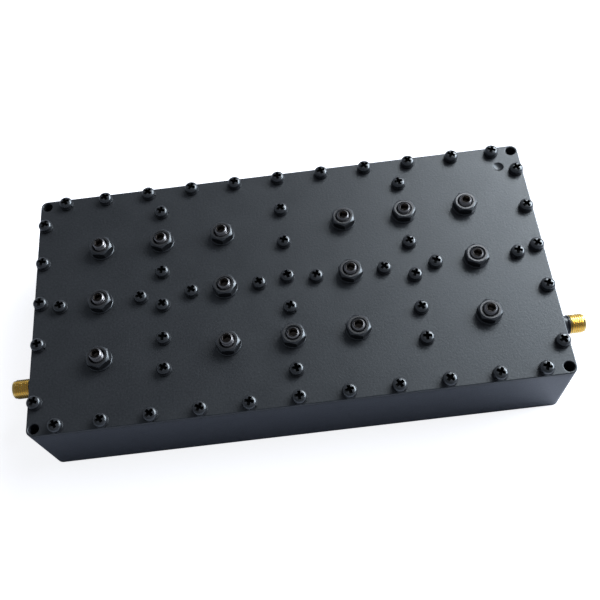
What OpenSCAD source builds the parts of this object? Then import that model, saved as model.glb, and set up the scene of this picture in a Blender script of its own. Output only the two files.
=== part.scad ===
// Eight cavity comb-line bandpass filter with two threaded coaxial jacks.
// Millimetres. Origin at the bottom centre, +X along the length, +Z up through the cover.

/* [Housing] */
// Length of the body and the cover
body_length = 166; // [150:1:190]
// Width of the body and the cover
body_width = 86.5; // [80:0.5:100]
// Height from the underside to the top of the cover
body_height = 26; // [24:0.5:32]
// Radius of the four upright outer corners
corner_radius = 2.2; // [1.5:0.1:3]
// Thickness of the floor under the cavities
floor_thickness = 4; // [3.5:0.5:5]
// Thickness of the two end walls that carry the jacks
end_wall = 4.3; // [4.2:0.1:6]
// Thickness of the front and back walls
side_wall = 4.9; // [4.5:0.1:7]
// Thickness of the walls between the cavities
inner_wall = 5; // [4.5:0.1:7]
// Radius the cutter leaves in the upright cavity corners
cavity_radius = 4; // [3:0.5:6]
// Width of the coupling windows in the inner walls
window_width = 14; // [12:0.5:16]
// Height above the underside at which the coupling windows end
window_sill = 8; // [6:0.5:9]

/* [Cover] */
// Thickness of the cover plate
cover_thickness = 1.5; // [1:0.1:2.5]
// Diameter of the four holes through the corners
corner_hole_d = 3.3; // [3:0.1:3.6]
// Distance of the corner holes from both outer faces
corner_hole_inset = 2.35; // [2.3:0.05:3]
// Diameter of the round dimple near the back right corner
dimple_d = 2.6; // [2:0.1:3]
// Depth of the dimple
dimple_depth = 0.7; // [0.4:0.1:0.9]
// Distance of the dimple from the right end face
dimple_from_end = 7.8; // [7.4:0.1:9]
// Distance of the dimple from the back face
dimple_from_back = 8.4; // [7.4:0.1:9]

/* [Cover screws] */
// Diameter of the cover screw threads
cover_screw_d = 2.5; // [2:0.1:2.6]
// Length of a cover screw under its head
cover_screw_length = 8; // [6:0.5:10]
// Diameter of a cover screw head
screw_head_d = 4.4; // [4:0.1:4.8]
// Height of a cover screw head
screw_head_h = 1.7; // [1.5:0.1:2.2]
// Diameter of the spring washers under the heads
spring_washer_d = 4.7; // [4.4:0.1:4.9]
// Thickness of the spring washers
spring_washer_h = 0.6; // [0.5:0.1:0.8]
// Spacing of the screws along the front and back edges
edge_pitch = 15; // [14:0.5:16]
// Distance of the end screws in those rows from the end faces
edge_end = 9.2; // [8.6:0.2:10]
// Distance of the edge screws from the nearest outer face
screw_inset = 2.4; // [2.35:0.05:2.6]

/* [Tuning] */
// Diameter of the tuning and coupling screws
tuner_d = 4; // [3:0.5:5]
// Gap between the deepest tuning screw and the cap screw below it
tuner_gap = 3.7; // [3:0.1:5]
// Size across flats of the hexagon socket in the tuning and coupling screws
tuner_socket = 2.2; // [1.5:0.1:2.3]
// Depth of that socket
tuner_socket_depth = 2.2; // [1.8:0.1:3]
// Size across flats of the locknuts
locknut_af = 7; // [6.5:0.1:8]
// Height of a locknut
locknut_h = 2.5; // [2.2:0.1:3.2]
// Diameter of the flat washers under the locknuts
flat_washer_d = 8; // [7.8:0.1:9.5]
// Thickness of those washers
flat_washer_h = 0.5; // [0.4:0.1:1]

/* [Resonators] */
// Diameter of a resonator post
post_d = 12; // [10:0.5:14]
// Gap between the top of a post and the cover
post_gap = 4.5; // [3.5:0.5:5.5]
// Diameter of the bore from the top of a post
post_bore_d = 6.5; // [6.2:0.1:7.5]
// Thickness of the post under its bore
post_foot = 4; // [3:0.5:4]

/* [Jacks] */
// Diameter of the jack thread
jack_d = 6.35; // [6:0.05:6.6]
// Distance of the jack ends from the end walls
jack_reach = 10.8; // [9.5:0.1:12.5]
// Height of the jack axis above the underside
jack_z = 11.4; // [11:0.1:12.5]
// Distance from the end wall at which the free length of the thread starts
jack_thread_start = 5.3; // [5:0.1:5.6]
// Diameter of the relief groove next to it
jack_relief_d = 5.6; // [5.2:0.1:5.8]
// Width of that groove
jack_relief = 0.8; // [0.6:0.1:1]
// Size across flats of the jack nut
jack_nut_af = 8; // [7.8:0.1:9.5]
// Thickness of the jack nut
jack_nut_h = 2.6; // [2:0.1:3]
// Thickness of the washer behind the jack nut
jack_washer_h = 0.7; // [0.5:0.1:0.8]
// Diameter of the jack flange inside the cavity
jack_flange_d = 9.6; // [9:0.1:10.5]

/* [Fits] */
// Radial gap between a screw and the thread it sits in
thread_gap = 0.02; // [0.02:0.01:0.05]
// Radial gap around a tuning screw that is to be turned
running_gap = 0.05; // [0.04:0.01:0.08]
// Radial gap where a part is pushed over or into another
push_gap = 0.02; // [0.02:0.01:0.05]
// Radial gap around a screw or thread that only passes through
free_gap = 0.15; // [0.1:0.01:0.2]

/* [Hidden] */
eps = 0.01;
round_fn = 64;
half_l = body_length / 2;
half_w = body_width / 2;
deck = body_height - cover_thickness;
cavity_x = (body_length - 2 * end_wall - 3 * inner_wall) / 4;
cavity_y = (body_width - 2 * side_wall - inner_wall) / 2;
pitch_x = cavity_x + inner_wall;
row_y = (cavity_y + inner_wall) / 2;

// Cavity centres in the order the signal passes them, from the left jack to the right one
column = [-1.5, -1.5, -0.5, -0.5, 0.5, 0.5, 1.5, 1.5];
side = [-1, 1, 1, -1, -1, 1, 1, -1];
centres = [for (i = [0:7]) [column[i] * pitch_x, side[i] * row_y]];
windows = [for (i = [0:6]) (centres[i] + centres[i + 1]) / 2];

// Height at which each screw stands above its locknut
tuning_out = [2.0, 1.5, 1.2, 1.8, 0.7, 0.8, 1.0, 1.2];
coupling_out = [1.0, 0.8, 0.9, 0.4, 1.0, 0.8, 0.3];
// Turn of each locknut about its own axis, in degrees
tuning_turn = [8, 20, 4, 26, 14, 2, 22, 11];
coupling_turn = [17, 5, 28, 12, 9, 24, 3];

// Cover screws: two long rows, two end columns, the cross walls and the middle wall
row_count = floor((half_l - edge_end - 1.6 * screw_head_d) / edge_pitch);
row_x = concat(
    [-half_l + edge_end],
    [for (i = [-row_count:row_count]) i * edge_pitch],
    [half_l - edge_end]
);
end_y = [for (f = [0.749, 0.398, 0.044, -0.303, -0.756]) f * half_w];
outer_wall_y = [for (f = [0.749, 0.199, -0.088, -0.365, -0.610]) f * half_w];
centre_wall_y = [for (f = [0.638, 0.338, 0.030, -0.234, -0.735]) f * half_w];
middle_x = [for (f = [-1.825, -1.177, -0.768, -0.228, 0.228, 0.768, 1.177, 1.825]) f * pitch_x];
edge_y = half_w - screw_inset;
edge_x = half_l - screw_inset;
front_screws = [for (x = row_x) [x, -edge_y]];
back_screws = [for (x = row_x) [x, edge_y]];
end_screws = [for (s = [-1, 1]) for (y = end_y) [s * edge_x, y]];
wall_screws = concat(
    [for (s = [-1, 1]) for (y = outer_wall_y) [s * pitch_x, y]],
    [for (y = centre_wall_y) [0, y]],
    [for (x = middle_x) [x, 0]]
);
all_screws = concat(front_screws, back_screws, end_screws, wall_screws);
corners = [for (sx = [-1, 1]) for (sy = [-1, 1])
    [sx * (half_l - corner_hole_inset), sy * (half_w - corner_hole_inset)]];
dimple = [half_l - dimple_from_end, half_w - dimple_from_back];
dimple_ball = (pow(dimple_d / 2, 2) + pow(dimple_depth, 2)) / (2 * dimple_depth);

// Levels of what stands on the cover
head_seat = body_height + spring_washer_h;
nut_seat = body_height + flat_washer_h;
nut_top = nut_seat + locknut_h;
post_top = deck - post_gap;
screw_depth = head_seat - cover_screw_length;

// Cap screws that hold the posts
foot_top = floor_thickness + post_foot;
foot_screw_d = 3;
foot_screw_bite = 3;
foot_head_d = 5.5;
foot_head_h = 3;
foot_socket = 2.5;
foot_socket_depth = 1.5;
foot_screw_end = floor_thickness - foot_screw_bite;
foot_head_top = foot_top + foot_head_h;
tuner_length = nut_top + min(tuning_out) - foot_head_top - tuner_gap;

// Cuts and chamfers of the small parts
hole_end = 0.4;
tuner_chamfer = 0.4;
locknut_chamfer = 0.6;
locknut_sink = 0.55;
post_chamfer = 0.5;
head_sag = 0.7;
recess_span = 2.6;
recess_width = 0.8;
recess_depth = 1.1;
spring_cut = 0.5;

// Jack levels along its own axis, zero at the outer face of the end wall
pin_d = 1.27;
pin_stub = 2.2;
socket_d = 0.94;
socket_depth = 2.6;
socket_slot = 0.18;
socket_slot_depth = 2;
dielectric_d = 4.1;
dielectric_stub = 1.2;
mouth_d = 4.65;
mouth_depth = 1.9;
mouth_bottom = jack_reach - mouth_depth;
flange_h = 1.5;
flange_back = -end_wall - flange_h;
dielectric_back = flange_back - dielectric_stub;
pin_back = dielectric_back - pin_stub;
tap_d = 2.2;
tap_bite = 2;
tap_gap = 0.1;
tap_front = dielectric_back - tap_gap;
post_axis = half_l - 1.5 * pitch_x;
tap_back = -(post_axis - post_d / 2) - tap_bite;
jack_nut_chamfer = 0.5;
jack_chamfer = 0.4;

// Upright block with rounded corners, centred, standing on z = 0
module rounded_block(size, r) {
    translate([-size.x / 2 + r, -size.y / 2, 0])
        cube([size.x - 2 * r, size.y, size.z]);
    translate([-size.x / 2, -size.y / 2 + r, 0])
        cube([size.x, size.y - 2 * r, size.z]);
    for (sx = [-1, 1])
        for (sy = [-1, 1])
            translate([sx * (size.x / 2 - r), sy * (size.y / 2 - r), 0])
                cylinder(h = size.z, r = r, $fn = round_fn);
}

// Plain round hole or pin from z0 to z1
module rod(d, z0, z1) {
    translate([0, 0, z0])
        cylinder(h = z1 - z0, d = d, $fn = round_fn);
}

// Round bar with its upper edge chamfered, and its lower one too if wanted
module chamfered_rod(d, z0, z1, c, both = true) {
    low = both ? c : 0;
    rod(d, z0 + low, z1 - c);
    translate([0, 0, z1 - c])
        cylinder(h = c, d1 = d, d2 = d - 2 * c, $fn = round_fn);
    if (both)
        translate([0, 0, z0])
            cylinder(h = c, d1 = d - 2 * c, d2 = d, $fn = round_fn);
}

// Hexagonal bar standing on z = 0
module hex_bar(af, h) {
    cylinder(h = h, d = af / cos(30), $fn = 6);
}

// Ring standing on z = 0
module ring(outer, inner, h) {
    difference() {
        rod(outer, 0, h);
        rod(inner, -1, h + 1);
    }
}

// Puts what is drawn along the jack axis on its end wall: -1 is the left one, 1 the right one
module at_jack(hand) {
    translate([hand * half_l, -row_y, jack_z])
        rotate([0, hand * 90, 0])
            children();
}

module housing() {
    color([0.16, 0.17, 0.18])
        difference() {
            rounded_block([body_length, body_width, deck], corner_radius);
            for (p = centres)
                translate([p.x, p.y, floor_thickness])
                    rounded_block([cavity_x, cavity_y, body_height], cavity_radius);
            for (i = [0:6]) {
                across = centres[i].x == centres[i + 1].x;
                span = inner_wall + 2 * cavity_radius;
                size = across ? [window_width, span] : [span, window_width];
                translate([windows[i].x - size.x / 2, windows[i].y - size.y / 2, window_sill])
                    cube([size.x, size.y, body_height]);
            }
            for (p = all_screws)
                translate([p.x, p.y, 0])
                    rod(cover_screw_d + 2 * thread_gap, screw_depth - 1, body_height);
            for (p = corners)
                translate([p.x, p.y, 0])
                    rod(corner_hole_d, -1, body_height);
            for (p = centres)
                translate([p.x, p.y, 0])
                    rod(foot_screw_d + 2 * thread_gap, foot_screw_end - hole_end, floor_thickness + 1);
            for (hand = [-1, 1])
                at_jack(hand)
                    rod(jack_d + 2 * thread_gap, -end_wall - 1, 1);
        }
}

module cover() {
    color([0.13, 0.14, 0.15])
        difference() {
            translate([0, 0, deck])
                rounded_block([body_length, body_width, cover_thickness], corner_radius);
            for (p = all_screws)
                translate([p.x, p.y, 0])
                    rod(cover_screw_d + 2 * free_gap, deck - 1, body_height + 1);
            for (p = concat(centres, windows))
                translate([p.x, p.y, 0])
                    rod(tuner_d + 2 * running_gap, deck - 1, body_height + 1);
            for (p = corners)
                translate([p.x, p.y, 0])
                    rod(corner_hole_d, deck - 1, body_height + 1);
            translate([dimple.x, dimple.y, body_height - dimple_depth + dimple_ball])
                sphere(r = dimple_ball, $fn = round_fn);
        }
}

// Hollow post on the cavity floor, with a cross hole if a tap goes into it
module resonator(i) {
    color([0.78, 0.78, 0.76])
        translate([centres[i].x, centres[i].y, 0])
            difference() {
                chamfered_rod(post_d, floor_thickness, post_top, post_chamfer, false);
                rod(post_bore_d, foot_top, post_top + 1);
                rod(foot_screw_d + 2 * free_gap, floor_thickness - 1, foot_top + 1);
                if (i == 0 || i == 7)
                    translate([0, 0, jack_z])
                        rotate([0, i == 0 ? -90 : 90, 0])
                            rod(tap_d + 2 * push_gap, post_d / 2 - tap_bite, post_d);
            }
}

module resonator_screws() {
    color([0.72, 0.73, 0.74])
        for (p = centres)
            translate([p.x, p.y, 0])
                difference() {
                    union() {
                        rod(foot_screw_d, foot_screw_end, foot_top + eps);
                        translate([0, 0, foot_top])
                            chamfered_rod(foot_head_d, 0, foot_head_h, 0.3, false);
                    }
                    translate([0, 0, foot_head_top - foot_socket_depth])
                        hex_bar(foot_socket, foot_socket_depth + 1);
                }
}

// Headless screw with chamfered ends and a hexagon socket, its top the given height above the locknut
module tuner(p, out) {
    top = nut_top + out;
    color([0.30, 0.29, 0.27])
        translate([p.x, p.y, 0])
            difference() {
                chamfered_rod(tuner_d, top - tuner_length, top, tuner_chamfer);
                translate([0, 0, top - tuner_socket_depth])
                    hex_bar(tuner_socket, tuner_socket_depth + 1);
            }
}

// Hexagon nut with rounded off upper corners and a wide countersink
module locknut(p, turn) {
    r = locknut_af / 2;
    shoulder = locknut_h - locknut_chamfer;
    bore = tuner_d + 2 * running_gap;
    translate([p.x, p.y, nut_seat])
        difference() {
            intersection() {
                rotate([0, 0, turn])
                    hex_bar(locknut_af, locknut_h);
                union() {
                    rod(locknut_af * 1.2, -1, shoulder);
                    translate([0, 0, shoulder])
                        cylinder(h = locknut_chamfer, r1 = r * 1.2, r2 = r * 0.92, $fn = round_fn);
                }
            }
            rod(bore, -1, locknut_h + 1);
            translate([0, 0, locknut_h - locknut_sink])
                cylinder(h = locknut_sink + eps, d1 = bore, d2 = bore + 2 * locknut_sink, $fn = round_fn);
        }
}

module locknuts(places, turns) {
    color([0.20, 0.21, 0.22])
        for (i = [0:len(places) - 1])
            locknut(places[i], turns[i]);
}

module flat_washers(places) {
    color([0.24, 0.25, 0.26])
        for (p = places)
            translate([p.x, p.y, body_height])
                ring(flat_washer_d, tuner_d + 2 * free_gap, flat_washer_h);
}

// Domed head with a cross recess over a plain shank
module cover_screw(turn) {
    dome_r = (pow(screw_head_d / 2, 2) + pow(head_sag, 2)) / (2 * head_sag);
    difference() {
        union() {
            rod(cover_screw_d, screw_depth, head_seat + eps);
            intersection() {
                rod(screw_head_d, head_seat, head_seat + screw_head_h);
                translate([0, 0, head_seat + screw_head_h - dome_r])
                    sphere(r = dome_r, $fn = round_fn);
            }
        }
        for (a = [0, 90])
            translate([0, 0, head_seat + screw_head_h - recess_depth])
                rotate([0, 0, turn + a])
                    translate([-recess_span / 2, -recess_width / 2, 0])
                        cube([recess_span, recess_width, recess_depth + 1]);
    }
}

module cover_screws(places) {
    color([0.10, 0.10, 0.11])
        for (i = [0:len(places) - 1])
            translate([places[i].x, places[i].y, 0])
                cover_screw(places[i].x * 7 + places[i].y * 11);
}

// Washers with the cut that makes them springs
module spring_washers(places) {
    color([0.14, 0.14, 0.15])
        for (p = places)
            translate([p.x, p.y, body_height])
                difference() {
                    ring(spring_washer_d, cover_screw_d + 2 * free_gap, spring_washer_h);
                    rotate([0, 0, p.x * 13 + p.y * 5])
                        translate([0, -spring_cut / 2, -1])
                            cube([spring_washer_d, spring_cut, spring_washer_h + 2]);
                }
}

// Threaded barrel with a flange that bears on the inside of the end wall
module jack_body(hand) {
    relief_start = jack_thread_start - jack_relief;
    color([0.83, 0.68, 0.38])
        at_jack(hand)
            difference() {
                union() {
                    rod(jack_d, flange_back + eps, relief_start);
                    rod(jack_relief_d, relief_start - eps, jack_thread_start + eps);
                    chamfered_rod(jack_d, jack_thread_start, jack_reach, jack_chamfer, false);
                    rod(jack_flange_d, flange_back, -end_wall);
                }
                rod(dielectric_d + 2 * push_gap, flange_back - 1, jack_reach + 1);
                rod(mouth_d, mouth_bottom, jack_reach + 1);
            }
}

module dielectric(hand) {
    color([0.93, 0.92, 0.88])
        at_jack(hand)
            translate([0, 0, dielectric_back])
                ring(dielectric_d, pin_d + 2 * push_gap, mouth_bottom - dielectric_back);
}

// Centre conductor: slotted socket outside, plain pin inside
module contact(hand) {
    color([0.86, 0.70, 0.36])
        at_jack(hand)
            difference() {
                rod(pin_d, pin_back, mouth_bottom);
                rod(socket_d, mouth_bottom - socket_depth, mouth_bottom + 1);
                for (a = [0, 90])
                    rotate([0, 0, a])
                        translate([-pin_d, -socket_slot / 2, mouth_bottom - socket_slot_depth])
                            cube([2 * pin_d, socket_slot, socket_slot_depth + 1]);
            }
}

module jack_nut(hand) {
    r = jack_nut_af / 2;
    shoulder = jack_nut_h - jack_nut_chamfer;
    color([0.12, 0.12, 0.13])
        at_jack(hand)
            translate([0, 0, jack_washer_h])
                difference() {
                    intersection() {
                        hex_bar(jack_nut_af, jack_nut_h);
                        union() {
                            rod(jack_nut_af * 1.2, -1, shoulder);
                            translate([0, 0, shoulder])
                                cylinder(h = jack_nut_chamfer, r1 = r * 1.2, r2 = r * 0.96, $fn = round_fn);
                        }
                    }
                    rod(jack_d + 2 * thread_gap, -1, jack_nut_h + 1);
                }
}

module lock_washer(hand) {
    color([0.15, 0.15, 0.16])
        at_jack(hand)
            ring(jack_nut_af * 1.1, jack_d + 2 * free_gap, jack_washer_h);
}

// Rod from the contact pin to the first or last post
module tap(hand) {
    color([0.80, 0.66, 0.42])
        at_jack(hand)
            difference() {
                rod(tap_d, tap_back, tap_front);
                rod(pin_d + 2 * push_gap, pin_back - 0.1, tap_front + 1);
            }
}

housing();
cover();
resonator(0);  // resonator_1
resonator(1);  // resonator_2
resonator(2);  // resonator_3
resonator(3);  // resonator_4
resonator(4);  // resonator_5
resonator(5);  // resonator_6
resonator(6);  // resonator_7
resonator(7);  // resonator_8
resonator_screws();
tuner(centres[0], tuning_out[0]);  // tuning_screw_1
tuner(centres[1], tuning_out[1]);  // tuning_screw_2
tuner(centres[2], tuning_out[2]);  // tuning_screw_3
tuner(centres[3], tuning_out[3]);  // tuning_screw_4
tuner(centres[4], tuning_out[4]);  // tuning_screw_5
tuner(centres[5], tuning_out[5]);  // tuning_screw_6
tuner(centres[6], tuning_out[6]);  // tuning_screw_7
tuner(centres[7], tuning_out[7]);  // tuning_screw_8
tuner(windows[0], coupling_out[0]);  // coupling_screw_1
tuner(windows[1], coupling_out[1]);  // coupling_screw_2
tuner(windows[2], coupling_out[2]);  // coupling_screw_3
tuner(windows[3], coupling_out[3]);  // coupling_screw_4
tuner(windows[4], coupling_out[4]);  // coupling_screw_5
tuner(windows[5], coupling_out[5]);  // coupling_screw_6
tuner(windows[6], coupling_out[6]);  // coupling_screw_7
locknuts(centres, tuning_turn);  // tuning_locknuts
locknuts(windows, coupling_turn);  // coupling_locknuts
flat_washers(centres);  // tuning_washers
flat_washers(windows);  // coupling_washers
cover_screws(front_screws);  // front_cover_screws
cover_screws(back_screws);  // back_cover_screws
cover_screws(end_screws);  // end_cover_screws
cover_screws(wall_screws);  // wall_cover_screws
spring_washers(front_screws);  // front_spring_washers
spring_washers(back_screws);  // back_spring_washers
spring_washers(end_screws);  // end_spring_washers
spring_washers(wall_screws);  // wall_spring_washers
jack_body(-1);  // input_jack_body
dielectric(-1);  // input_dielectric
contact(-1);  // input_contact
jack_nut(-1);  // input_nut
lock_washer(-1);  // input_lock_washer
tap(-1);  // input_tap
jack_body(1);  // output_jack_body
dielectric(1);  // output_dielectric
contact(1);  // output_contact
jack_nut(1);  // output_nut
lock_washer(1);  // output_lock_washer
tap(1);  // output_tap
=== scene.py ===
"""Looks of the cavity filter: painted housing and cover, screws, locknuts, threads and gold jacks."""
import math

import bmesh
import bpy
from mathutils import Matrix, Vector


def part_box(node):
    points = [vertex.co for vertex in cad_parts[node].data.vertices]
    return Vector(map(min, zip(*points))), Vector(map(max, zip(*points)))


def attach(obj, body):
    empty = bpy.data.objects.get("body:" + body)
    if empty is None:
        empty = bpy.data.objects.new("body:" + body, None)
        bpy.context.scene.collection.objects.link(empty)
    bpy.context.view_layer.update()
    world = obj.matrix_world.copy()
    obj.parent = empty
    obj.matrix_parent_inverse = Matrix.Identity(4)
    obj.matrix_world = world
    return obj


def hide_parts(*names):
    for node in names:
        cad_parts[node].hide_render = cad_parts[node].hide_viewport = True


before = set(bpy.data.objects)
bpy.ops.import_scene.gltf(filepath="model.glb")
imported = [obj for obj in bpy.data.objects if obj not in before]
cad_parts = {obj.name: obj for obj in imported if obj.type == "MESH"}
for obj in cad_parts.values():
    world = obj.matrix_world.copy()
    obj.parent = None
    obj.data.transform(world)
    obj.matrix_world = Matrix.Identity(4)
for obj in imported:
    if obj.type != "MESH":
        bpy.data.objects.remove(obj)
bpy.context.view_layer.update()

MM = 0.001
BODY = "filter_body"


# Sizes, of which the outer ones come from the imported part

cover_low, cover_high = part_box("cover")
TOP = cover_high.z
SEAM = cover_low.z
HALF_L = cover_high.x
HALF_W = cover_high.y
END_WALL = 4.3 * MM
INNER_WALL = 5.0 * MM
PITCH_X = (2 * HALF_L - 2 * END_WALL - 3 * INNER_WALL) / 4 + INNER_WALL
CORNER_RADIUS = 2.2 * MM
CORNER_HOLE_R = 1.65 * MM
CORNER_HOLE_INSET = 2.35 * MM

# Cover screws
SCREW_INSET = 2.4 * MM
EDGE_END = 9.2 * MM
EDGE_PITCH = 15 * MM
WASHER_H = 0.6 * MM
WASHER_R = 2.35 * MM
WASHER_BORE_R = 1.35 * MM
WASHER_EDGE = 0.06 * MM
WASHER_GAP_DEG = 14.0
HEAD_R = 2.2 * MM
HEAD_H = 1.7 * MM
SHANK_R = 1.25 * MM
SHANK_L = 7.4 * MM

# Tuning and coupling screws: how many, and the turn of each locknut in degrees
NUT_TURNS = {"tuning": [8, 20, 4, 26, 14, 2, 22, 11], "coupling": [17, 5, 28, 12, 9, 24, 3]}
TUNER_R = 2.0 * MM
TUNER_HOLE_R = 2.05 * MM
TUNER_PITCH = 0.5 * MM
TUNER_THREAD_DEPTH = 0.20 * MM
TUNER_EDGE = 0.4 * MM
SOCKET_AF = 2.2 * MM
SOCKET_DEPTH = 2.2 * MM
NUT_AF = 7.0 * MM
NUT_SINK = 0.55 * MM
NUT_CHAMFER = 0.6 * MM
DISC_R = 4.0 * MM
DISC_BORE_R = 2.15 * MM

# Jacks, with distances out from the end wall
JACK_R = 3.175 * MM
JACK_PITCH = 0.706 * MM
JACK_THREAD_DEPTH = 0.46 * MM
JACK_THREAD_START = 5.3 * MM
JACK_RELIEF_L = 0.8 * MM
JACK_RELIEF_R = 2.8 * MM
JACK_LEAD_L = 0.9 * MM
JACK_MOUTH_R = 2.325 * MM
JACK_MOUTH_DEPTH = 1.9 * MM
JACK_BORE_R = 2.07 * MM
JACK_FLANGE_H = 1.5 * MM
JACK_NUT_AF = 8.0 * MM
JACK_NUT_START = 0.7 * MM
JACK_NUT_BORE_R = JACK_R + 0.02 * MM
JACK_NUT_SINK = 0.2 * MM
JACK_NUT_CHAMFER = 0.5 * MM
JACK_WASHER_R = 4.4 * MM
JACK_WASHER_BORE_R = 3.33 * MM
# How far the black paint reaches out from each end wall
PAINT_REACH = {"input": 5.2 * MM, "output": 6.0 * MM}


# Mesh building

def new_object(name, verts, faces, smooth=True, sharp_deg=35.0):
    """Mesh object from plain lists, shaded smooth with its sharp edges kept."""
    mesh = bpy.data.meshes.new(name)
    mesh.from_pydata([tuple(v) for v in verts], [], faces)
    mesh.validate()
    mesh.update()
    obj = bpy.data.objects.new(name, mesh)
    bpy.context.scene.collection.objects.link(obj)
    if smooth:
        shade(obj, sharp_deg)
    return obj


def shade(obj, sharp_deg, flat_up=False):
    """Smooth shading, with edges sharper than the angle marked sharp; level faces can stay flat."""
    bm = bmesh.new()
    bm.from_mesh(obj.data)
    bmesh.ops.remove_doubles(bm, verts=bm.verts, dist=1e-7)
    bmesh.ops.recalc_face_normals(bm, faces=bm.faces)
    limit = math.radians(sharp_deg)
    for face in bm.faces:
        face.smooth = not (flat_up and abs(face.normal.z) > 0.999)
    for edge in bm.edges:
        edge.smooth = len(edge.link_faces) == 2 and edge.calc_face_angle(0.0) < limit
    bm.to_mesh(obj.data)
    bm.free()


def lathe(profile, segments, closed=False):
    """Vertices and faces of a (radius, height) profile turned about Z."""
    verts, faces = [], []
    for r, z in profile:
        for k in range(segments):
            a = 2 * math.pi * k / segments
            verts.append((r * math.cos(a), r * math.sin(a), z))
    rows = len(profile)
    for i in range(rows if closed else rows - 1):
        j = (i + 1) % rows
        for k in range(segments):
            n = (k + 1) % segments
            faces.append((i * segments + k, i * segments + n, j * segments + n, j * segments + k))
    return verts, faces


def surface(radius, levels, segments):
    """Vertices and faces of rings at the given heights, whose radius depends on angle and height."""
    verts, faces = [], []
    for z in levels:
        for k in range(segments):
            a = 2 * math.pi * k / segments
            r = radius(a, z)
            verts.append((r * math.cos(a), r * math.sin(a), z))
    for i in range(len(levels) - 1):
        for k in range(segments):
            n = (k + 1) % segments
            faces.append((i * segments + k, i * segments + n, (i + 1) * segments + n, (i + 1) * segments + k))
    return verts, faces


def merge(*parts):
    """One set of vertices and faces out of several."""
    verts, faces = [], []
    for v, f in parts:
        shift = len(verts)
        verts += list(v)
        faces += [tuple(i + shift for i in face) for face in f]
    return verts, faces


def moved(part, matrix):
    """The same part, placed by a matrix."""
    verts, faces = part
    return [tuple(matrix @ Vector(v)) for v in verts], faces


def mesh_part(obj):
    """Vertices and faces of an object with its modifiers applied; the object goes away."""
    bpy.context.view_layer.update()
    evaluated = obj.evaluated_get(bpy.context.evaluated_depsgraph_get())
    mesh = evaluated.to_mesh()
    verts = [tuple(v.co) for v in mesh.vertices]
    faces = [tuple(p.vertices) for p in mesh.polygons]
    evaluated.to_mesh_clear()
    bpy.data.objects.remove(obj)
    return verts, faces


def spin(deg):
    """Turn about Z."""
    return Matrix.Rotation(math.radians(deg), 4, "Z")


def place(x, y, z, deg):
    """Turn about Z, then a move to the place."""
    return Matrix.Translation((x, y, z)) @ spin(deg)


def steps(low, high, count):
    """Evenly spaced values from low to high, with both ends."""
    return [low + (high - low) * k / count for k in range(count + 1)]


# Where the screws are, by the same rules as in the part

ROW_COUNT = 4
row_x = [i * EDGE_PITCH for i in range(-ROW_COUNT, ROW_COUNT + 1)]
row_x = [-HALF_L + EDGE_END] + row_x + [HALF_L - EDGE_END]
# Screws of the end columns and inner walls, as shares of the half width or of the cavity pitch
END_SHARES = [0.749, 0.398, 0.044, -0.303, -0.756]
OUTER_SHARES = [0.749, 0.199, -0.088, -0.365, -0.610]
CENTRE_SHARES = [0.638, 0.338, 0.030, -0.234, -0.735]
MIDDLE_SHARES = [-1.825, -1.177, -0.768, -0.228, 0.228, 0.768, 1.177, 1.825]
SCREWS = {
    "front": [(x, -(HALF_W - SCREW_INSET)) for x in row_x],
    "back": [(x, HALF_W - SCREW_INSET) for x in row_x],
    "end": [(s * (HALF_L - SCREW_INSET), f * HALF_W) for s in (-1, 1) for f in END_SHARES],
    "wall": [(s * PITCH_X, f * HALF_W) for s in (-1, 1) for f in OUTER_SHARES]
    + [(0.0, f * HALF_W) for f in CENTRE_SHARES]
    + [(f * PITCH_X, 0.0) for f in MIDDLE_SHARES],
}
CORNERS = [
    (sx * (HALF_L - CORNER_HOLE_INSET), sy * (HALF_W - CORNER_HOLE_INSET))
    for sx in (-1, 1)
    for sy in (-1, 1)
]
DIMPLE = (HALF_L - 7.8 * MM, HALF_W - 8.4 * MM)
DIMPLE_HOLE_R = 1.6 * MM


def middle(node):
    """Centre of a CAD node's box."""
    low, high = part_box(node)
    return (low + high) / 2


# Materials

def principled(name):
    """A new node material, and its nodes, links and main shader."""
    material = bpy.data.materials.new(name)
    material.use_nodes = True
    nodes, links = material.node_tree.nodes, material.node_tree.links
    return material, nodes, links, nodes["Principled BSDF"]


def noise(nodes, links, scale, detail=2.0, rough=0.5):
    """Noise in object coordinates, scale in cells per metre."""
    coords = nodes.new("ShaderNodeTexCoord")
    texture = nodes.new("ShaderNodeTexNoise")
    texture.inputs["Scale"].default_value = scale
    texture.inputs["Detail"].default_value = detail
    texture.inputs["Roughness"].default_value = rough
    links.new(coords.outputs["Object"], texture.inputs["Vector"])
    return texture


def ramp(nodes, links, source, stops):
    """Colour ramp driven by a value, with its stops as (position, colour)."""
    node = nodes.new("ShaderNodeValToRGB")
    elements = node.color_ramp.elements
    while len(elements) < len(stops):
        elements.new(0.5)
    for element, (position, colour) in zip(elements, stops):
        element.position = position
        element.color = (*colour, 1.0)
    links.new(source, node.inputs["Fac"])
    return node


def add_bump(nodes, links, shader, height, strength, distance):
    """Surface relief from a texture's value, distance in metres."""
    bump = nodes.new("ShaderNodeBump")
    bump.inputs["Strength"].default_value = strength
    bump.inputs["Distance"].default_value = distance
    links.new(height, bump.inputs["Height"])
    links.new(bump.outputs["Normal"], shader.inputs["Normal"])


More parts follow.
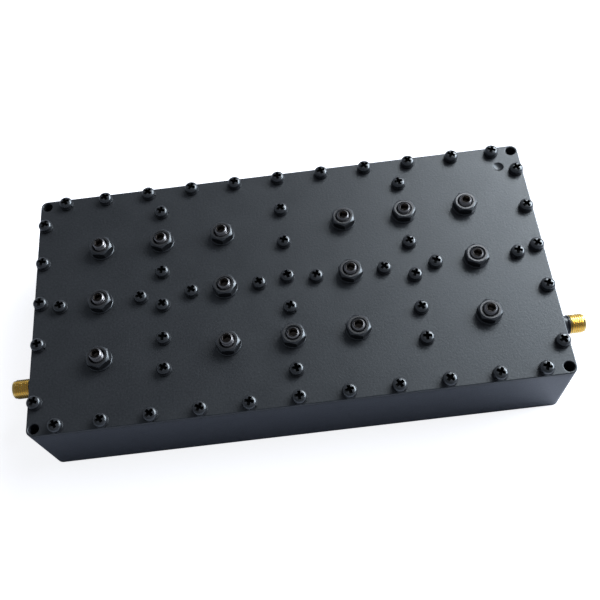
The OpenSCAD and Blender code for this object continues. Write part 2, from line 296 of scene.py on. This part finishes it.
def paint(name, dark, light, roughness, grain=1500.0, bump=0.25, specular=0.9, tint=(0.84, 0.93, 1.0)):
    """Black paint with a fine grain in its colour and surface, and wide clouds in its gloss."""
    gloss_spread, relief = 0.08, 0.12 * MM
    material, nodes, links, shader = principled(name)
    fine = noise(nodes, links, grain, detail=3.0, rough=0.65)
    colour = ramp(nodes, links, fine.outputs["Fac"], [(0.32, dark), (0.72, light)])
    links.new(colour.outputs["Color"], shader.inputs["Base Color"])
    gloss = nodes.new("ShaderNodeMapRange")
    gloss.inputs["To Min"].default_value = roughness - gloss_spread
    gloss.inputs["To Max"].default_value = roughness + gloss_spread
    wide = noise(nodes, links, 90.0, detail=4.0)
    links.new(wide.outputs["Fac"], gloss.inputs["Value"])
    links.new(gloss.outputs["Result"], shader.inputs["Roughness"])
    shader.inputs["Specular IOR Level"].default_value = specular
    shader.inputs["Specular Tint"].default_value = (*tint, 1.0)
    add_bump(nodes, links, shader, fine.outputs["Fac"], bump, relief)
    return material


def metal(name, colour, roughness, bump=0.03):
    """Bare or plated metal with slight handling marks."""
    tint_spread, gloss_spread, relief = 0.06, 0.06, 0.05 * MM
    material, nodes, links, shader = principled(name)
    marks = noise(nodes, links, 700.0, detail=4.0)
    low = tuple(c * (1 - tint_spread) for c in colour)
    high = tuple(min(1.0, c * (1 + tint_spread)) for c in colour)
    tint = ramp(nodes, links, marks.outputs["Fac"], [(0.3, low), (0.7, high)])
    links.new(tint.outputs["Color"], shader.inputs["Base Color"])
    shader.inputs["Metallic"].default_value = 1.0
    gloss = nodes.new("ShaderNodeMapRange")
    gloss.inputs["To Min"].default_value = max(0.03, roughness - gloss_spread)
    gloss.inputs["To Max"].default_value = roughness + gloss_spread
    links.new(marks.outputs["Fac"], gloss.inputs["Value"])
    links.new(gloss.outputs["Result"], shader.inputs["Roughness"])
    add_bump(nodes, links, shader, marks.outputs["Fac"], bump, relief)
    return material


def plastic(name, colour, roughness):
    """Plain plastic with a slight cloud in its colour."""
    material, nodes, links, shader = principled(name)
    cloud = noise(nodes, links, 600.0)
    low = tuple(c * 0.94 for c in colour)
    tint = ramp(nodes, links, cloud.outputs["Fac"], [(0.3, low), (0.7, colour)])
    links.new(tint.outputs["Color"], shader.inputs["Base Color"])
    shader.inputs["Roughness"].default_value = roughness
    return material


COVER_PAINT = paint("cover_paint", (0.006, 0.0065, 0.008), (0.020, 0.021, 0.024), 0.45, bump=0.4)
BODY_PAINT = paint("body_paint", (0.010, 0.011, 0.015), (0.026, 0.028, 0.037), 0.42, bump=0.5, specular=1.0,
                   tint=(0.80, 0.89, 1.0))
NUT_PAINT = paint("nut_paint", (0.012, 0.013, 0.016), (0.024, 0.026, 0.031), 0.36, grain=900.0, bump=0.1)
# Darker copy of the nut paint on the locknuts' sides, countersink and base: painted shade
NUT_PAINTED_SHADE = paint("nut_painted_shade", (0.006, 0.0065, 0.008), (0.013, 0.014, 0.016), 0.36, grain=900.0, bump=0.1,
                 specular=0.45)
# Lighter metal on the locknuts' flat top ring: painted highlight
NUT_PAINTED_HIGHLIGHT = metal("nut_painted_highlight", (0.120, 0.124, 0.130), 0.38)
SCREW_BLACK = paint("screw_black", (0.013, 0.014, 0.016), (0.026, 0.027, 0.031), 0.28, grain=700.0, bump=0.05)
WASHER_BLACK = paint("washer_black", (0.010, 0.011, 0.013), (0.020, 0.021, 0.025), 0.46, grain=700.0,
                     bump=0.05, specular=0.5)
# Near-black material inside the screw heads' cross recesses: painted shade
RECESS_PAINTED_SHADE = paint("recess_painted_shade", (0.001, 0.001, 0.001), (0.003, 0.003, 0.003), 0.70, grain=700.0,
                     specular=0.1)
# Lighter metal on the tuners' thread and chamfered edge: painted highlight ring on the edge
TUNER_METAL = metal("tuner_metal", (0.21, 0.21, 0.22), 0.36)
TUNER_FACE = metal("tuner_face", (0.024, 0.023, 0.023), 0.45)
SOCKET_METAL = metal("socket_metal", (0.110, 0.095, 0.085), 0.40)
GOLD = metal("bright_gold", (0.96, 0.70, 0.25), 0.22, bump=0.0)
BARE = metal("bare_aluminium", (0.80, 0.80, 0.79), 0.35)
STEEL = metal("plain_steel", (0.56, 0.57, 0.58), 0.33)
PTFE = plastic("white_ptfe", (0.88, 0.87, 0.83), 0.45)


def dress(obj, *materials):
    """The object's materials; its faces start with the first."""
    obj.data.materials.clear()
    for material in materials:
        obj.data.materials.append(material)


def hand_over(obj, body, slot, *nodes):
    """The piece rides on its body and stands for the CAD nodes."""
    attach(obj, body)
    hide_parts(*nodes)


# Housing keeps its CAD shape; the cover gets rounded edges, which leave the seam line under it

def outline_curve(curve, points):
    """Closed flat outline, added to a curve."""
    spline = curve.splines.new("POLY")
    spline.points.add(len(points) - 1)
    for p, (x, y) in zip(spline.points, points):
        p.co = (x, y, 0.0, 1.0)
    spline.use_cyclic_u = True


def rounded_outline(half_x, half_y, r):
    """Points of a rectangle with rounded corners."""
    segments = 10
    points = []
    for cx, cy, a0 in ((1, 1, 0), (-1, 1, 90), (-1, -1, 180), (1, -1, 270)):
        for k in range(segments + 1):
            a = math.radians(a0 + 90 * k / segments)
            points.append((cx * (half_x - r) + r * math.cos(a), cy * (half_y - r) + r * math.sin(a)))
    return points


def circle(cx, cy, r):
    """Points of a circle."""
    turns = [2 * math.pi * k / 40 for k in range(40)]
    return [(cx + r * math.cos(a), cy + r * math.sin(a)) for a in turns]


def build_cover():
    """Plate with its holes; the top edge is rounded, and the lower one a little, which shows the seam."""
    # The lower rounding starts as wide as the top one, and this much of it is pressed flat into the seam
    edge, flattened = 0.3 * MM, 0.18 * MM
    curve = bpy.data.curves.new("cover_outline", "CURVE")
    curve.dimensions = "2D"
    curve.fill_mode = "BOTH"
    outline_curve(curve, rounded_outline(HALF_L, HALF_W, CORNER_RADIUS))
    for x, y in CORNERS:
        outline_curve(curve, circle(x, y, CORNER_HOLE_R))
    for kind, turns in NUT_TURNS.items():
        for i in range(1, len(turns) + 1):
            c = middle(f"{kind}_screw_{i}")
            outline_curve(curve, circle(c.x, c.y, TUNER_HOLE_R))
    outline_curve(curve, circle(*DIMPLE, DIMPLE_HOLE_R))
    curve.extrude = (TOP - SEAM + flattened) / 2 - edge
    curve.bevel_depth = edge
    curve.bevel_resolution = 3
    curve.offset = -edge
    shape = bpy.data.objects.new("cover_outline", curve)
    shape.location.z = (TOP + SEAM - flattened) / 2
    bpy.context.scene.collection.objects.link(shape)
    bpy.context.view_layer.update()
    mesh = bpy.data.meshes.new_from_object(shape.evaluated_get(bpy.context.evaluated_depsgraph_get()))
    mesh.transform(shape.matrix_world)
    for vertex in mesh.vertices:
        vertex.co.z = max(vertex.co.z, SEAM)
    bpy.data.objects.remove(shape)
    plate = bpy.data.objects.new("cover_plate", mesh)
    bpy.context.scene.collection.objects.link(plate)
    shade(plate, 40, flat_up=True)
    dress(plate, COVER_PAINT)
    hand_over(plate, BODY, "painted_cover", "cover")


def build_dimple():
    """Bowl of the dimple, which meets the rounded rim of its hole in the cover."""
    # Bowl of this radius and depth, used out to its rim and set a little lower than the cover's face
    r, depth, rim, sunk = 1.75 * MM, 0.75 * MM, 1.66 * MM, 0.03 * MM
    ball = (r * r + depth * depth) / (2 * depth)
    arc = [math.asin(rim / ball) * k / 10 for k in range(11)]
    profile = [(ball * math.sin(a), TOP - depth - sunk + ball - ball * math.cos(a)) for a in arc]
    bowl = new_object("cover_dimple", *moved(lathe(profile, 40), Matrix.Translation((*DIMPLE, 0))))
    dress(bowl, COVER_PAINT)
    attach(bowl, BODY)


# Cover screws and their spring washers

def screw_head():
    """Domed head, its cross recess cut out."""
    # Upright side, then a dome that is flatter than a ball
    side = HEAD_H * 0.48
    profile = [(0.0, 0.0), (HEAD_R - 0.15 * MM, 0.0), (HEAD_R, 0.12 * MM), (HEAD_R, side)]
    for k in range(1, 13):
        a = math.radians(90 * k / 12)
        dome_r = HEAD_R * math.cos(a) ** 0.55
        profile.append((max(dome_r, 0.0), side + (HEAD_H - side) * math.sin(a) ** 1.15))
    head = new_object("head_master", *lathe(profile, 40), smooth=False)
    bm = bmesh.new()
    bm.from_mesh(head.data)
    bmesh.ops.remove_doubles(bm, verts=bm.verts, dist=1e-8)
    bmesh.ops.recalc_face_normals(bm, faces=bm.faces)
    bm.to_mesh(head.data)
    bm.free()
    # Two crossed wedges for the recess: height, half length and half width of their top and of their bottom
    top, top_l, top_w = HEAD_H + 0.2 * MM, 1.62 * MM, 0.52 * MM
    low, low_l, low_w = HEAD_H - 1.25 * MM, 0.75 * MM, 0.34 * MM
    verts = [
        (-low_l, -low_w, low), (low_l, -low_w, low), (low_l, low_w, low), (-low_l, low_w, low),
        (-top_l, -top_w, top), (top_l, -top_w, top), (top_l, top_w, top), (-top_l, top_w, top),
    ]
    faces = [(3, 2, 1, 0), (4, 5, 6, 7), (0, 1, 5, 4), (1, 2, 6, 5), (2, 3, 7, 6), (3, 0, 4, 7)]
    wedges = []
    for turn in (0, 90):
        wedge = new_object(f"wedge_{turn}", *moved((verts, faces), spin(turn)), smooth=False)
        cut = head.modifiers.new(f"cut_{turn}", "BOOLEAN")
        cut.operation = "DIFFERENCE"
        cut.solver = "EXACT"
        cut.object = wedge
        wedges.append(wedge)
    part = mesh_part(head)
    for wedge in wedges:
        bpy.data.objects.remove(wedge)
    return part


def split_washer():
    """Flat ring with a cut through it."""
    segments = 44
    section = [
        (WASHER_BORE_R, 0.0), (WASHER_R - WASHER_EDGE, 0.0), (WASHER_R, WASHER_EDGE),
        (WASHER_R, WASHER_H - WASHER_EDGE), (WASHER_R - WASHER_EDGE, WASHER_H), (WASHER_BORE_R, WASHER_H),
    ]
    count = len(section)
    verts, faces = [], []
    for k in range(segments + 1):
        a = math.radians(WASHER_GAP_DEG / 2 + (360 - WASHER_GAP_DEG) * k / segments)
        verts += [(r * math.cos(a), r * math.sin(a), z) for r, z in section]
    for k in range(segments):
        for c in range(count):
            d = (c + 1) % count
            faces.append((k * count + c, k * count + d, (k + 1) * count + d, (k + 1) * count + c))
    faces.append(tuple(range(count)))
    faces.append(tuple(reversed(range(segments * count, segments * count + count))))
    return verts, faces


def paint_recess_shade(obj, places):
    """The faces inside the cross recesses get the darker, near-black material, which paints the shade in the
    recesses.
    """
    seat, recess_r = TOP + WASHER_H, 1.8 * MM
    low, deep = seat + 0.1 * MM, seat + HEAD_H - 0.6 * MM
    for polygon in obj.data.polygons:
        c, n = polygon.center, polygon.normal
        x, y = min(places, key=lambda p: (p[0] - c.x) ** 2 + (p[1] - c.y) ** 2)
        if c.z < low or math.hypot(c.x - x, c.y - y) > recess_r:
            continue
        bottom = n.z > 0.9 and c.z < deep
        if bottom or abs(n.z) < 0.6:
            polygon.material_index = 1


def build_cover_screws():
    """One object of heads and one of spring washers for each group of screws."""
    head, washer = screw_head(), split_washer()
    shank = lathe([(0.0, -SHANK_L), (SHANK_R, -SHANK_L), (SHANK_R, 0.05 * MM)], 16)
    screw = merge(head, shank)
    for group, places in SCREWS.items():
        screws, washers = [], []
        for x, y in places:
            screws.append(moved(screw, place(x, y, TOP + WASHER_H, x / MM * 7 + y / MM * 11)))
            washers.append(moved(washer, place(x, y, TOP, x / MM * 13 + y / MM * 5)))
        heads = new_object(f"{group}_screw_heads", *merge(*screws), sharp_deg=30)
        # The second material is the near-black painted shade inside the cross recesses
        dress(heads, SCREW_BLACK, RECESS_PAINTED_SHADE)
        paint_recess_shade(heads, places)
        hand_over(heads, BODY, "black_screws", f"{group}_cover_screws")
        rings = new_object(f"{group}_washer_rings", *merge(*washers), sharp_deg=30)
        dress(rings, WASHER_BLACK)
        hand_over(rings, BODY, "black_screws", f"{group}_spring_washers")


# Tuning and coupling screws, their locknuts and washers

def thread_radius(outer, depth, pitch, z_low, z_high, fade, crest=0.22):
    """Radius of a right-handed thread at an angle and height, run out at both ends."""
    def radius(a, z):
        wave = (z / pitch - a / (2 * math.pi)) % 1.0
        groove = max(0.0, abs(2 * wave - 1) - crest) / (1 - crest)
        ease = min(1.0, max(0.0, (z - z_low) / fade), max(0.0, (z_high - z) / fade))
        return outer - depth * min(1.0, 1.15 * groove) * ease
    return radius


def hexagon_radius(af, a):
    """Distance from the axis to the side of a hexagon, at an angle."""
    return af / 2 / math.cos((a + math.pi / 6) % (math.pi / 3) - math.pi / 6)


def hexagon(af, cone_top, cone_low, z_top, z_low, chamfer):
    """Radius of a hexagon bar whose ends are turned to cones, the lower one half as high."""
    corner = af / 2 * 1.16

    def radius(a, z):
        flat = hexagon_radius(af, a)
        limit = flat
        if z > z_top - chamfer:
            limit = cone_top + (corner - cone_top) * (z_top - z) / chamfer
        if z < z_low + chamfer * 0.5:
            low = cone_low + (corner - cone_low) * (z - z_low) / (chamfer * 0.5)
            limit = min(limit, low)
        return min(flat, limit)
    return radius


def nut_part(af, height, bore, sink, chamfer):
    """Hexagon nut with chamfered ends and a countersunk bore, standing on z = 0."""
    segments = 96
    levels = steps(0, chamfer * 0.5, 3) + steps(chamfer * 0.6, height - chamfer * 1.1, 3)
    levels += steps(height - chamfer, height, 8)
    shape = hexagon(af, af / 2 * 0.90, af / 2 * 0.97, height, 0.0, chamfer)
    outer = surface(shape, levels, segments)
    # Flat rings, made as upright surfaces one unit high and then pressed flat
    top = surface(lambda a, z: shape(a, height) if z < 1 else bore + sink, [height, 1 + height], segments)
    top = ([(v[0], v[1], height) for v in top[0]], top[1])
    rim = lathe([(bore + sink, height), (bore, height - sink), (bore, 0.0)], segments)
    base = surface(lambda a, z: bore if z < 1 else shape(a, 0.0), [0.0, 1.0], segments)
    base = ([(v[0], v[1], 0.0) for v in base[0]], base[1])
    return merge(outer, top, rim, base)


def tuner_part(low, high):
    """Threaded headless screw between two heights, with a hexagon socket in its top."""
    segments, lip = 36, 0.14 * MM
    thread = thread_radius(
        TUNER_R, TUNER_THREAD_DEPTH, TUNER_PITCH, low + TUNER_EDGE, high - TUNER_EDGE, TUNER_PITCH
    )

    def outside(a, z):
        """Thread, cut down by the chamfer at either end."""
        near_end = min(z - low, high - z)
        return min(thread(a, z), TUNER_R - max(0.0, TUNER_EDGE - near_end))

    def socket(a):
        return hexagon_radius(SOCKET_AF, a)

    shell = surface(outside, steps(low, high, int((high - low) / TUNER_PITCH * 8)), segments)
    end = lathe([(0.0, low), (TUNER_R - TUNER_EDGE, low)], segments)
    rings = [
        (lambda a: TUNER_R - TUNER_EDGE, high),
        (lambda a: socket(a) + lip, high),
        (socket, high - lip),
        (socket, high - SOCKET_DEPTH),
        (lambda a: 0.0, high - SOCKET_DEPTH - 0.4 * MM),
    ]
    verts, faces = [], []
    for radius, z in rings:
        for k in range(segments):
            a = 2 * math.pi * k / segments
            verts.append((radius(a) * math.cos(a), radius(a) * math.sin(a), z))
    for i in range(len(rings) - 1):
        for k in range(segments):
            n = (k + 1) % segments
            faces.append((i * segments + k, i * segments + n, (i + 1) * segments + n, (i + 1) * segments + k))
    return merge(shell, end, (verts, faces))


def dress_tuner(obj, centre, low, high):
    """Thread and chamfered edge in a lighter metal, which paints the highlight ring on the edge, a dark top
    face, and a socket of its own colour.
    """
    dress(obj, TUNER_METAL, TUNER_FACE, SOCKET_METAL)
    face_r, face_depth, bottom_h = 1.56 * MM, 0.2 * MM, 1.0 * MM
    # Faces outside the top face keep the lighter metal, which paints the highlight ring on the edge
    for polygon in obj.data.polygons:
        out = math.hypot(polygon.center.x - centre.x, polygon.center.y - centre.y)
        if out < face_r and polygon.center.z > low.z + bottom_h:
            polygon.material_index = 1 if polygon.center.z > high.z - face_depth else 2


def dress_nut(obj):
    """Lighter bare metal on the top ring as a painted highlight, nut paint on the chamfer, and a darker paint
    on the sides and countersink as painted shade.
    """
    dress(obj, NUT_PAINT, NUT_PAINTED_HIGHLIGHT, NUT_PAINTED_SHADE)
    for polygon in obj.data.polygons:
        # The flat top ring gets the painted highlight
        if polygon.normal.z > 0.95:
            polygon.material_index = 1
        # Sides, countersink and base get the darker painted shade
        elif polygon.normal.z < 0.78:
            polygon.material_index = 2


def build_tuners(kind, turns):
    """The screws of one kind, each on its own body, and their nuts and washers on the filter's."""
    nut_low, nut_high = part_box(f"{kind}_locknuts")
    disc_low, disc_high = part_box(f"{kind}_washers")
    nut = nut_part(NUT_AF, nut_high.z - nut_low.z, TUNER_HOLE_R, NUT_SINK, NUT_CHAMFER)
    thick, edge = disc_high.z - disc_low.z, 0.12 * MM
    section = [
        (DISC_BORE_R, 0.0), (DISC_R - edge, 0.0), (DISC_R, edge),
        (DISC_R, thick - edge), (DISC_R - edge, thick), (DISC_BORE_R, thick),
    ]
    disc = lathe(section, 64, closed=True)
    nuts, discs = [], []
    for i, turn in enumerate(turns, 1):
        node = f"{kind}_screw_{i}"
        low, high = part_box(node)
        centre = middle(node)
        nuts.append(moved(nut, place(centre.x, centre.y, nut_low.z, turn)))
        discs.append(moved(disc, place(centre.x, centre.y, disc_low.z, 17 * i)))
        part = moved(tuner_part(low.z, high.z), place(centre.x, centre.y, 0.0, 0.0))
        screw = new_object(f"{node}_thread", *part, sharp_deg=50)
        dress_tuner(screw, centre, low, high)
        hand_over(screw, f"{node}_body", "tuner_metal", node)
    all_nuts = new_object(f"{kind}_nuts", *merge(*nuts), sharp_deg=28)
    dress_nut(all_nuts)
    hand_over(all_nuts, BODY, "black_nuts", f"{kind}_locknuts")
    all_discs = new_object(f"{kind}_discs", *merge(*discs), sharp_deg=30)
    dress(all_discs, NUT_PAINT)
    hand_over(all_discs, BODY, "black_nuts", f"{kind}_washers")


# Jacks

def jack_barrel(reach, flange_r):
    """Body of a jack along +Z, from its flange to its open end; z = 0 is the wall's outside."""
    segments, tiny = 64, 0.01 * MM
    relief_start = JACK_THREAD_START - JACK_RELIEF_L
    lead = reach - JACK_LEAD_L
    thread = thread_radius(JACK_R, JACK_THREAD_DEPTH, JACK_PITCH, JACK_THREAD_START, reach, 0.3 * MM)

    def turned(z):
        """Radius of the lead-in: a slope down from the thread, a plain stretch and a chamfered end."""
        slope = min(0.28 * MM, max(0.0, z - lead) * 1.6)
        chamfer = max(0.0, z - (reach - 0.15 * MM))
        return JACK_R - slope - chamfer

    def outside(a, z):
        """Shank, relief groove, thread and lead-in."""
        if z < relief_start:
            return JACK_R
        if z < JACK_THREAD_START:
            return JACK_RELIEF_R
        return turned(z) if z > lead + 0.2 * MM else min(thread(a, z), turned(z))

    levels = [-END_WALL, relief_start - tiny, relief_start + tiny, JACK_THREAD_START - tiny]
    levels += steps(JACK_THREAD_START + tiny, reach, 130)
    mouth_low = reach - JACK_MOUTH_DEPTH
    back = -END_WALL - JACK_FLANGE_H
    edge = 0.1 * MM
    inside = [
        (turned(reach), reach), (JACK_MOUTH_R + edge, reach), (JACK_MOUTH_R, reach - edge),
        (JACK_MOUTH_R, mouth_low), (JACK_BORE_R, mouth_low), (JACK_BORE_R, back),
        (flange_r, back), (flange_r, -END_WALL), (JACK_R, -END_WALL),
    ]
    return merge(surface(outside, levels, segments), lathe(inside, segments))


def build_jack(name, hand):
    """One jack with its nut and lock washer, on the left (-1) or the right (1) end wall."""
    low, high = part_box(f"{name}_jack_body")
    axis_y, axis_z = (low.y + high.y) / 2, (low.z + high.z) / 2
    reach = max(abs(low.x), abs(high.x)) - HALF_L
    outward = Matrix.Rotation(hand * math.pi / 2, 4, "Y")
    to_wall = Matrix.Translation((hand * HALF_L, axis_y, axis_z)) @ outward
    body = jack_barrel(reach, flange_r=(high.z - low.z) / 2)
    barrel = new_object(f"{name}_barrel", *moved(body, to_wall), sharp_deg=40)
    dress(barrel, GOLD, NUT_PAINT)
    for polygon in barrel.data.polygons:
        out = abs(polygon.center.x) - HALF_L
        from_axis = math.hypot(polygon.center.y - axis_y, polygon.center.z - axis_z)
        if from_axis > JACK_MOUTH_R + 0.1 * MM and 0 < out < PAINT_REACH[name]:
            polygon.material_index = 1
    hand_over(barrel, BODY, "gold_plate", f"{name}_jack_body")

    nut_low, nut_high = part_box(f"{name}_nut")
    nut = nut_part(JACK_NUT_AF, nut_high.x - nut_low.x, JACK_NUT_BORE_R, JACK_NUT_SINK, JACK_NUT_CHAMFER)
    nut = moved(nut, Matrix.Translation((0, 0, JACK_NUT_START)))
    hex_nut = new_object(f"{name}_hex_nut", *moved(nut, to_wall), sharp_deg=28)
    dress(hex_nut, NUT_PAINT)
    hand_over(hex_nut, BODY, "black_nuts", f"{name}_nut")

    section = [
        (JACK_WASHER_BORE_R, 0.0), (JACK_WASHER_R, 0.0), (JACK_WASHER_R, JACK_NUT_START - 0.08 * MM),
        (JACK_WASHER_R - 0.1 * MM, JACK_NUT_START), (JACK_WASHER_BORE_R, JACK_NUT_START),
    ]
    ring = moved(lathe(section, 64, closed=True), to_wall)
    washer = new_object(f"{name}_washer_ring", *ring, sharp_deg=30)
    dress(washer, NUT_PAINT)
    hand_over(washer, BODY, "black_nuts", f"{name}_lock_washer")


# CAD nodes that are shown as they are

def dress_cad():
    """Materials of the CAD nodes that nothing replaces."""
    looks = {"housing": BODY_PAINT, "resonator_screws": STEEL}
    for i in range(1, 9):
        looks[f"resonator_{i}"] = BARE
    for name in ("input", "output"):
        looks[f"{name}_dielectric"] = PTFE
        looks[f"{name}_contact"] = GOLD
        looks[f"{name}_tap"] = GOLD
    for node, material in looks.items():
        dress(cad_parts[node], material)


build_cover()
build_dimple()
build_cover_screws()
for tuner_kind, nut_turns in NUT_TURNS.items():
    build_tuners(tuner_kind, nut_turns)
build_jack("input", -1)
build_jack("output", 1)
dress_cad()


# Floor, light and camera

FLOOR_COLOUR = (0.72, 0.75, 0.84)
FLOOR_WHITE = 0.82
AMBIENT = (0.13, 0.14, 0.16)
CEILING = (0.17, 0.18, 0.20)
HORIZON = (0.62, 0.66, 0.75)
# Name, place, aim, size and power of each lamp, and its colour
LAMPS = [
    ("window", (0.46, 0.60, 0.60), (0.03, 0.0, 0.02), (0.50, 0.40), 4.6, (0.96, 0.98, 1.0)),
    ("side", (0.50, 0.40, 0.42), (0.05, 0.0, 0.02), (0.40, 0.30), 2.8, (0.96, 0.98, 1.0)),
    ("low_right", (0.65, 0.15, 0.40), (0.05, 0.0, 0.02), (0.40, 0.30), 5.3, (0.88, 0.94, 1.0)),
]


def any_of(nodes, links, *sockets):
    """Largest of several ray kinds, so 1 when the ray is one of them."""
    seen = sockets[0]
    for socket in sockets[1:]:
        larger = nodes.new("ShaderNodeMath")
        larger.operation = "MAXIMUM"
        links.new(seen, larger.inputs[0])
        links.new(socket, larger.inputs[1])
        seen = larger.outputs[0]
    return seen


def build_stage():
    """Pale floor that the camera sees as white, with the shadow left faint, and clear from below."""
    size, low = 6.0, -0.05 * MM
    mesh = bpy.data.meshes.new("floor")
    corners = [(-size, -size, low), (size, -size, low), (size, size, low), (-size, size, low)]
    mesh.from_pydata(corners, [], [(0, 1, 2, 3)])
    floor = bpy.data.objects.new("floor", mesh)
    bpy.context.scene.collection.objects.link(floor)
    material = bpy.data.materials.new("white_floor")
    material.use_nodes = True
    nodes, links = material.node_tree.nodes, material.node_tree.links
    nodes.clear()
    out = nodes.new("ShaderNodeOutputMaterial")
    path = nodes.new("ShaderNodeLightPath")
    pale = nodes.new("ShaderNodeBsdfDiffuse")
    pale.inputs["Color"].default_value = (*FLOOR_COLOUR, 1)
    white = nodes.new("ShaderNodeEmission")
    white.inputs["Color"].default_value = (1, 1, 1, 1)
    white.inputs["Strength"].default_value = FLOOR_WHITE
    both = nodes.new("ShaderNodeAddShader")
    links.new(pale.outputs["BSDF"], both.inputs[0])
    links.new(white.outputs["Emission"], both.inputs[1])
    mix = nodes.new("ShaderNodeMixShader")
    seen = any_of(nodes, links, path.outputs["Is Camera Ray"], path.outputs["Is Transmission Ray"])
    links.new(seen, mix.inputs["Fac"])
    links.new(pale.outputs["BSDF"], mix.inputs[1])
    links.new(both.outputs["Shader"], mix.inputs[2])
    # Clear to what looks up through it, and to the underside that stands on it
    under = nodes.new("ShaderNodeMath")
    under.operation = "LESS_THAN"
    under.inputs[1].default_value = 0.2 * MM
    links.new(path.outputs["Ray Length"], under.inputs[0])
    below = nodes.new("ShaderNodeNewGeometry").outputs["Backfacing"]
    sides = nodes.new("ShaderNodeMixShader")
    links.new(any_of(nodes, links, below, under.outputs[0]), sides.inputs["Fac"])
    links.new(mix.outputs["Shader"], sides.inputs[1])
    links.new(nodes.new("ShaderNodeBsdfTransparent").outputs["BSDF"], sides.inputs[2])
    links.new(sides.outputs["Shader"], out.inputs["Surface"])
    mesh.materials.append(material)


def area_light(name, position, aim, size, power, colour):
    """Softbox at a place, turned to where it aims."""
    data = bpy.data.lights.new(name, "AREA")
    data.shape = "RECTANGLE"
    data.size, data.size_y = size
    data.energy = power
    data.color = colour
    light = bpy.data.objects.new(name, data)
    light.location = position
    light.rotation_euler = (Vector(aim) - Vector(position)).to_track_quat("-Z", "Y").to_euler()
    bpy.context.scene.collection.objects.link(light)


def build_world():
    """White to the camera, one dim level to matte faces, a dim room with a pale horizon to glossy ones."""
    world = bpy.data.worlds.new("studio")
    bpy.context.scene.world = world
    world.use_nodes = True
    nodes, links = world.node_tree.nodes, world.node_tree.links
    nodes.clear()
    out = nodes.new("ShaderNodeOutputWorld")
    back = nodes.new("ShaderNodeBackground")
    path = nodes.new("ShaderNodeLightPath")
    coords = nodes.new("ShaderNodeTexCoord")
    split = nodes.new("ShaderNodeSeparateXYZ")
    links.new(coords.outputs["Generated"], split.inputs["Vector"])
    height = ramp(nodes, links, split.outputs["Z"], [(0.0, HORIZON), (0.45, CEILING)])
    shine = nodes.new("ShaderNodeMix")
    shine.data_type = "RGBA"
    shine.inputs["A"].default_value = (*AMBIENT, 1)
    links.new(path.outputs["Is Glossy Ray"], shine.inputs["Factor"])
    links.new(height.outputs["Color"], shine.inputs["B"])
    mix = nodes.new("ShaderNodeMix")
    mix.data_type = "RGBA"
    mix.inputs["B"].default_value = (1, 1, 1, 1)
    seen = any_of(nodes, links, path.outputs["Is Camera Ray"], path.outputs["Is Transmission Ray"])
    links.new(seen, mix.inputs["Factor"])
    links.new(shine.outputs["Result"], mix.inputs["A"])
    links.new(mix.outputs["Result"], back.inputs["Color"])
    links.new(back.outputs["Background"], out.inputs["Surface"])


def build_camera():
    """The photo's own viewpoint, fitted to the outline and the grid of screws."""
    right = Vector((0.99289314, -0.09891764, -0.0661703))
    up = Vector((0.11781987, 0.89543325, 0.42932246))
    back = Vector((0.01678352, -0.43406751, 0.90072399))
    data = bpy.data.cameras.new("camera")
    data.sensor_width = 36.0
    data.lens = 44.9417
    data.shift_x = -0.017186
    data.shift_y = 0.080961
    data.clip_start = 0.01
    camera = bpy.data.objects.new("camera", data)
    turn = Matrix((right, up, back)).transposed().to_4x4()
    camera.matrix_world = Matrix.Translation((0.00860853, -0.12511735, 0.23356471)) @ turn
    bpy.context.scene.collection.objects.link(camera)
    bpy.context.scene.camera = camera


build_stage()
build_world()
for lamp in LAMPS:
    area_light(*lamp)
build_camera()
bpy.context.scene.view_settings.view_transform = "Standard"
